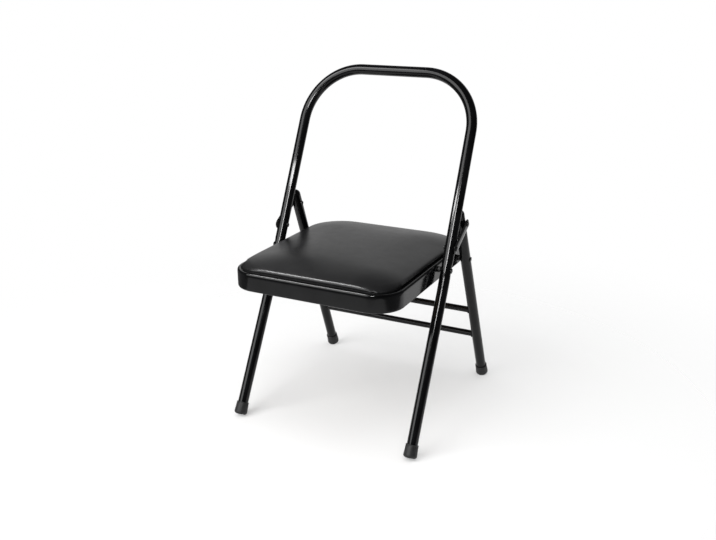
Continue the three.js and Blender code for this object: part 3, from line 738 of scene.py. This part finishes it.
def swell(made, pressure=4.0, stretch=40, stiffness=8, cap=0.005, voxel=0.0045, frames=20):
    """Blows the vinyl up with Blender's cloth, held round its edge, moves no point further than the cap,
    smooths it and adds one subdivision. Distance in = corner radius - |max(q, 0)| - min(max(qx, qy), 0)
    with q = |p| - (half - corner radius)."""
    scene = bpy.context.scene
    even = made.modifiers.new("even_mesh", "REMESH")
    even.mode = "VOXEL"
    even.voxel_size = voxel
    bpy.context.view_layer.update()
    fresh = bpy.data.meshes.new_from_object(worked_out(made))
    made.modifiers.clear()
    made.data = fresh
    start = points_of(fresh)
    held = made.vertex_groups.new(name="stapled")
    reach = np.abs(start[:, :2] - seat_middle[:2]) - (seat_half - seat_round)
    inset = seat_round - np.linalg.norm(np.maximum(reach, 0), axis=1) - np.minimum(reach.max(1), 0)
    stapled = (inset < pad_in + pad_roll) | (start[:, 2] < rim_top + held_height)
    held.add(np.flatnonzero(stapled).tolist(), 1.0, "REPLACE")
    cloth = made.modifiers.new("vinyl", "CLOTH")
    cloth.settings.vertex_group_mass = "stapled"
    cloth.settings.use_pressure = True
    cloth.settings.uniform_pressure_force = pressure
    cloth.settings.tension_stiffness = stretch
    cloth.settings.compression_stiffness = stretch
    cloth.settings.bending_stiffness = stiffness
    cloth.settings.effector_weights.gravity = 0
    cloth.point_cache.frame_start = 1
    cloth.point_cache.frame_end = frames
    for step in range(1, frames + 1):
        scene.frame_set(step)
    moved = points_of(worked_out(made).to_mesh()) - start
    length = np.maximum(np.linalg.norm(moved, axis=1, keepdims=True), 1e-9)
    moved *= np.minimum(1, cap / length)
    made.modifiers.clear()
    scene.frame_set(1)
    fresh.vertices.foreach_set("co", (start + moved).ravel())
    soften = made.modifiers.new("soften", "SMOOTH")
    soften.factor = 0.5
    soften.iterations = 4
    finer = made.modifiers.new("finer", "SUBSURF")
    finer.levels = finer.render_levels = 1
    bpy.context.view_layer.update()
    done = bpy.data.meshes.new_from_object(worked_out(made))
    made.modifiers.clear()
    made.vertex_groups.clear()
    made.data = done
    done.polygons.foreach_set("use_smooth", np.ones(len(done.polygons), bool))


vinyl = new_finish("smooth_black_vinyl", vinyl_plain, roughness=0.4, shine=0.24)
wear = pattern(vinyl, scale=9, Detail=3.0)
shade_between(vinyl, wear, vinyl_dark, vinyl_worn)
polish = pattern(vinyl, scale=45, Detail=5.0, Roughness=0.6)
gloss_between(vinyl, polish, smooth=0.26, rough=0.38)
cells = pattern(vinyl, scale=900, kind="ShaderNodeTexVoronoi", value="Distance", Randomness=1.0)
pebbles = relief(vinyl, cells, depth=0.00006, strength=0.35)
pull = pattern(vinyl, scale=55, Detail=2.0)
relief(vinyl, pull, depth=0.0004, strength=0.12, under=pebbles)
pad = skin("crowned_vinyl_pad", pad_rows(), crease=180)
swell(pad)
fit(pad, "seat", "pad_vinyl", vinyl, "seat_pad")

# Below the pad's edge the same vinyl is pulled down round the side of the board, and stapled under
# it, where the pan's flange hides the staples.
wrap_out = 0.0116
wrap_out_below = 0.0118
wrap_in = 0.0129
wrap_edge = 0.0003
wrap_top = rim_top + 0.0016
wrap_bottom = rim_top - 0.0062
wrap_profile = rounded([
    [wrap_out, wrap_top, wrap_edge],
    [wrap_in, wrap_top, wrap_edge],
    [wrap_in, wrap_bottom, wrap_edge],
    [wrap_out_below, wrap_bottom, wrap_edge],
], steps=3)
wrap = skin("vinyl_round_the_board", round_the_seat(wrap_profile), loop=True, crease=60)
fit(wrap, "seat", "pad_vinyl", vinyl)

# The studio is a plain white floor that fades into a white surround, with two soft boxes. The gloss
# shows a white paper sweep in a dark room, as the photograph's reflections do, and three small lamps
# add only the thin glints on the pan's rim, the bow and the right-hand tube.
floor_radius = 3.0
floor_around = 96
floor_white = 0.94
fade_from = 0.1
fade_to = 1.4
fade_least = 0.3
surround_fill = 0.55
surround_seen = 1.0
room_radius = 8
room_around = 64
room_rows = 15
room_light = 0.04
room_floor_light = 0.16
far = 7
room_floor_lift = 0.003
sweep_left = -2.2
paper_left = -0.9
paper_right = 0.97
paper_front = -1.25
paper_back = 1.9
paper_top = 2.4
paper_fades_from = 1.55
paper_bright = 0.72
paper_dim = 0.05


def plain_material(name):
    """A material with nothing in it but its output: the material, its nodes, its links, the surface."""
    made = bpy.data.materials.new(name)
    made.use_nodes = True
    nodes, links = made.node_tree.nodes, made.node_tree.links
    nodes.clear()
    return made, nodes, links, nodes.new("ShaderNodeOutputMaterial").inputs["Surface"]


def staged(name, points, faces, material):
    """A mesh of the studio, which is no part of the chair."""
    mesh = bpy.data.meshes.new(name)
    mesh.from_pydata(np.asarray(points, float).reshape(-1, 3).tolist(), [], np.asarray(faces).tolist())
    mesh.materials.append(material)
    made = bpy.data.objects.new(name, mesh)
    bpy.context.scene.collection.objects.link(made)
    return made


white_floor, nodes, links, surface = plain_material("white_floor")
fade = nodes.new("ShaderNodeMixShader")
paper = nodes.new("ShaderNodeBsdfDiffuse")
paper.inputs["Color"].default_value = (floor_white, floor_white, floor_white, 1.0)
clear = nodes.new("ShaderNodeBsdfTransparent")
place = nodes.new("ShaderNodeTexCoord")
distance = nodes.new("ShaderNodeVectorMath")
distance.operation = "LENGTH"
spread = nodes.new("ShaderNodeMapRange")
spread.interpolation_type = "SMOOTHSTEP"
spread.inputs["From Min"].default_value = fade_from
spread.inputs["From Max"].default_value = fade_to
spread.inputs["To Min"].default_value = fade_least
links.new(place.outputs["Object"], distance.inputs[0])
links.new(distance.outputs["Value"], spread.inputs["Value"])
links.new(spread.outputs["Result"], fade.inputs["Fac"])
links.new(paper.outputs["BSDF"], fade.inputs[1])
links.new(clear.outputs["BSDF"], fade.inputs[2])
links.new(fade.outputs["Shader"], surface)
turn = full_turn(floor_around)
floor_edge = np.stack([np.cos(turn), np.sin(turn), np.zeros(floor_around)], -1) * floor_radius
staged("studio_floor", floor_edge, [np.arange(floor_around)], white_floor)

world = bpy.data.worlds.new("white_surround")
bpy.context.scene.world = world
world.use_nodes = True
nodes, links = world.node_tree.nodes, world.node_tree.links
nodes.clear()
surround = nodes.new("ShaderNodeOutputWorld")
choose = nodes.new("ShaderNodeMixShader")
fill_light = nodes.new("ShaderNodeBackground")
fill_light.inputs["Color"].default_value = (1.0, 1.0, 1.0, 1.0)
fill_light.inputs["Strength"].default_value = surround_fill
white = nodes.new("ShaderNodeBackground")
white.inputs["Color"].default_value = (1.0, 1.0, 1.0, 1.0)
white.inputs["Strength"].default_value = surround_seen
rays = nodes.new("ShaderNodeLightPath")
seen = nodes.new("ShaderNodeMath")
seen.operation = "ADD"
shown = nodes.new("ShaderNodeMath")
shown.operation = "ADD"
shown.use_clamp = True
links.new(rays.outputs["Is Camera Ray"], seen.inputs[0])
links.new(rays.outputs["Is Glossy Ray"], seen.inputs[1])
links.new(seen.outputs["Value"], shown.inputs[0])
links.new(rays.outputs["Is Transmission Ray"], shown.inputs[1])
links.new(shown.outputs["Value"], choose.inputs["Fac"])
links.new(fill_light.outputs["Background"], choose.inputs[1])
links.new(white.outputs["Background"], choose.inputs[2])
links.new(choose.outputs["Shader"], surround.inputs["Surface"])


def gloss_card(name, points, faces, brightness):
    """A mesh that glows with that brightness and shows only in the gloss of the chair."""
    glowing, nodes, links, surface = plain_material(name)
    glow = nodes.new("ShaderNodeEmission")
    glow.inputs["Strength"].default_value = brightness
    glow.inputs["Color"].default_value = (1.0, 1.0, 1.0, 1.0)
    links.new(glow.outputs["Emission"], surface)
    card = staged(name, points, faces, glowing)
    card.visible_camera = card.visible_diffuse = card.visible_shadow = False
    card.visible_transmission = card.visible_volume_scatter = False
    return nodes, links, glow


# The dark room is a half globe: radius (cos a cos e, sin a cos e, sin e), over a dark floor that lies
# round the paper. The sweep stands behind the chair and grows dim towards its top.
turn, rise = np.meshgrid(full_turn(room_around), np.radians(np.linspace(-2, 90, room_rows)))
room = room_radius * np.stack([np.cos(turn) * np.cos(rise), np.sin(turn) * np.cos(rise), np.sin(rise)], -1)
gloss_card("dark_room", room, ring_faces(room_rows, room_around), room_light)

dark_floor = np.array([
    [[-far, -far], [paper_left, -far], [paper_left, far], [-far, far]],
    [[paper_right, -far], [far, -far], [far, far], [paper_right, far]],
    [[paper_left, -far], [paper_right, -far], [paper_right, paper_front], [paper_left, paper_front]],
])
dark_floor = np.concatenate([dark_floor, np.full((3, 4, 1), room_floor_lift)], -1)
gloss_card("dark_room_floor", dark_floor, np.arange(12).reshape(3, 4), room_floor_light)

sweep = [[sweep_left, paper_back, 0], [paper_right, paper_back, 0],
         [paper_right, paper_back, paper_top], [sweep_left, paper_back, paper_top]]
nodes, links, glow = gloss_card("paper_sweep", sweep, [[0, 1, 2, 3]], brightness=1.0)
place = nodes.new("ShaderNodeTexCoord")
height = nodes.new("ShaderNodeSeparateXYZ")
fall_off = nodes.new("ShaderNodeMapRange")
fall_off.inputs["From Min"].default_value = paper_fades_from
fall_off.inputs["From Max"].default_value = paper_top
fall_off.inputs["To Min"].default_value = paper_bright
fall_off.inputs["To Max"].default_value = paper_dim
links.new(place.outputs["Object"], height.inputs["Vector"])
links.new(height.outputs["Z"], fall_off.inputs["Value"])
links.new(fall_off.outputs["Result"], glow.inputs["Color"])


def outward_at(azimuth, elevation):
    """The direction at an azimuth from the front and an elevation: (sin a cos e, -cos a cos e, sin e)."""
    a, e = np.radians([azimuth, elevation])
    return np.array([np.sin(a) * np.cos(e), -np.cos(a) * np.cos(e), np.sin(e)])


def stand_at(name, data, place, right, up, back):
    """A lamp or camera at a place, whose own axes point to its right, up and back."""
    made = bpy.data.objects.new(name, data)
    turned_to = Matrix(np.column_stack([right, up, back]).tolist()).to_4x4()
    made.matrix_world = Matrix.Translation(place) @ turned_to
    bpy.context.scene.collection.objects.link(made)
    return made


def softbox(name, azimuth, elevation, distance, width, height, watts, aim=(0.0, 0.0, 0.42)):
    """A softbox that faces its aim from a distance, at an azimuth from the front and an elevation."""
    back = outward_at(azimuth, elevation)
    side = unit(np.cross(upward, back))
    lamp = bpy.data.lights.new(name, "AREA")
    lamp.shape = "RECTANGLE"
    lamp.size, lamp.size_y, lamp.energy = width, height, watts
    return stand_at(name, lamp, np.array(aim) + back * distance, side, np.cross(back, side), back)


softbox("key_softbox", azimuth=-30, elevation=30, distance=2.6, width=2.0, height=2.0, watts=60)
top_light = softbox("top_softbox", azimuth=40, elevation=75, distance=2.4,
                    width=1.8, height=1.8, watts=24)
top_light.visible_glossy = False
rim_glint = softbox("rim_glint_softbox", azimuth=-90, elevation=89.5, distance=0.37,
                    width=0.12, height=0.38, watts=5, aim=(-0.19, -0.27, 0.39))
rim_glint.visible_camera = False
bow_glint = softbox("bow_glint_softbox", azimuth=-90, elevation=67, distance=0.98,
                    width=0.3, height=0.44, watts=3, aim=(-0.03, -0.27, 0.39))
tube_glint = softbox("tube_glint_softbox", azimuth=2, elevation=34, distance=1.8,
                     width=0.3, height=0.4, watts=18, aim=(0.22, -0.03, 0.39))
rim_glint.visible_diffuse = bow_glint.visible_diffuse = tube_glint.visible_diffuse = False

# The camera stands where the photograph was taken from, to the right of the front and a little above
# the seat, level but for a third of a degree.
view_target = np.array([0.000188, -0.025231, 0.34812])
view_azimuth = 26.985
view_elevation = 19.4135
view_roll = np.radians(-0.344)
view_distance = 2.03004
away = outward_at(view_azimuth, view_elevation)
view_right = unit(np.cross(-away, upward))
view_up = np.cross(view_right, -away)
tilted_right = view_right * np.cos(view_roll) + view_up * np.sin(view_roll)
tilted_up = view_up * np.cos(view_roll) - view_right * np.sin(view_roll)
lens = bpy.data.cameras.new("photo_camera")
lens.sensor_width = 36.0
lens.lens = 42.981
camera_place = view_target + away * view_distance
camera = stand_at("photo_camera", lens, camera_place, tilted_right, tilted_up, away)
bpy.context.scene.camera = camera
bpy.context.scene.view_settings.view_transform = "Standard"
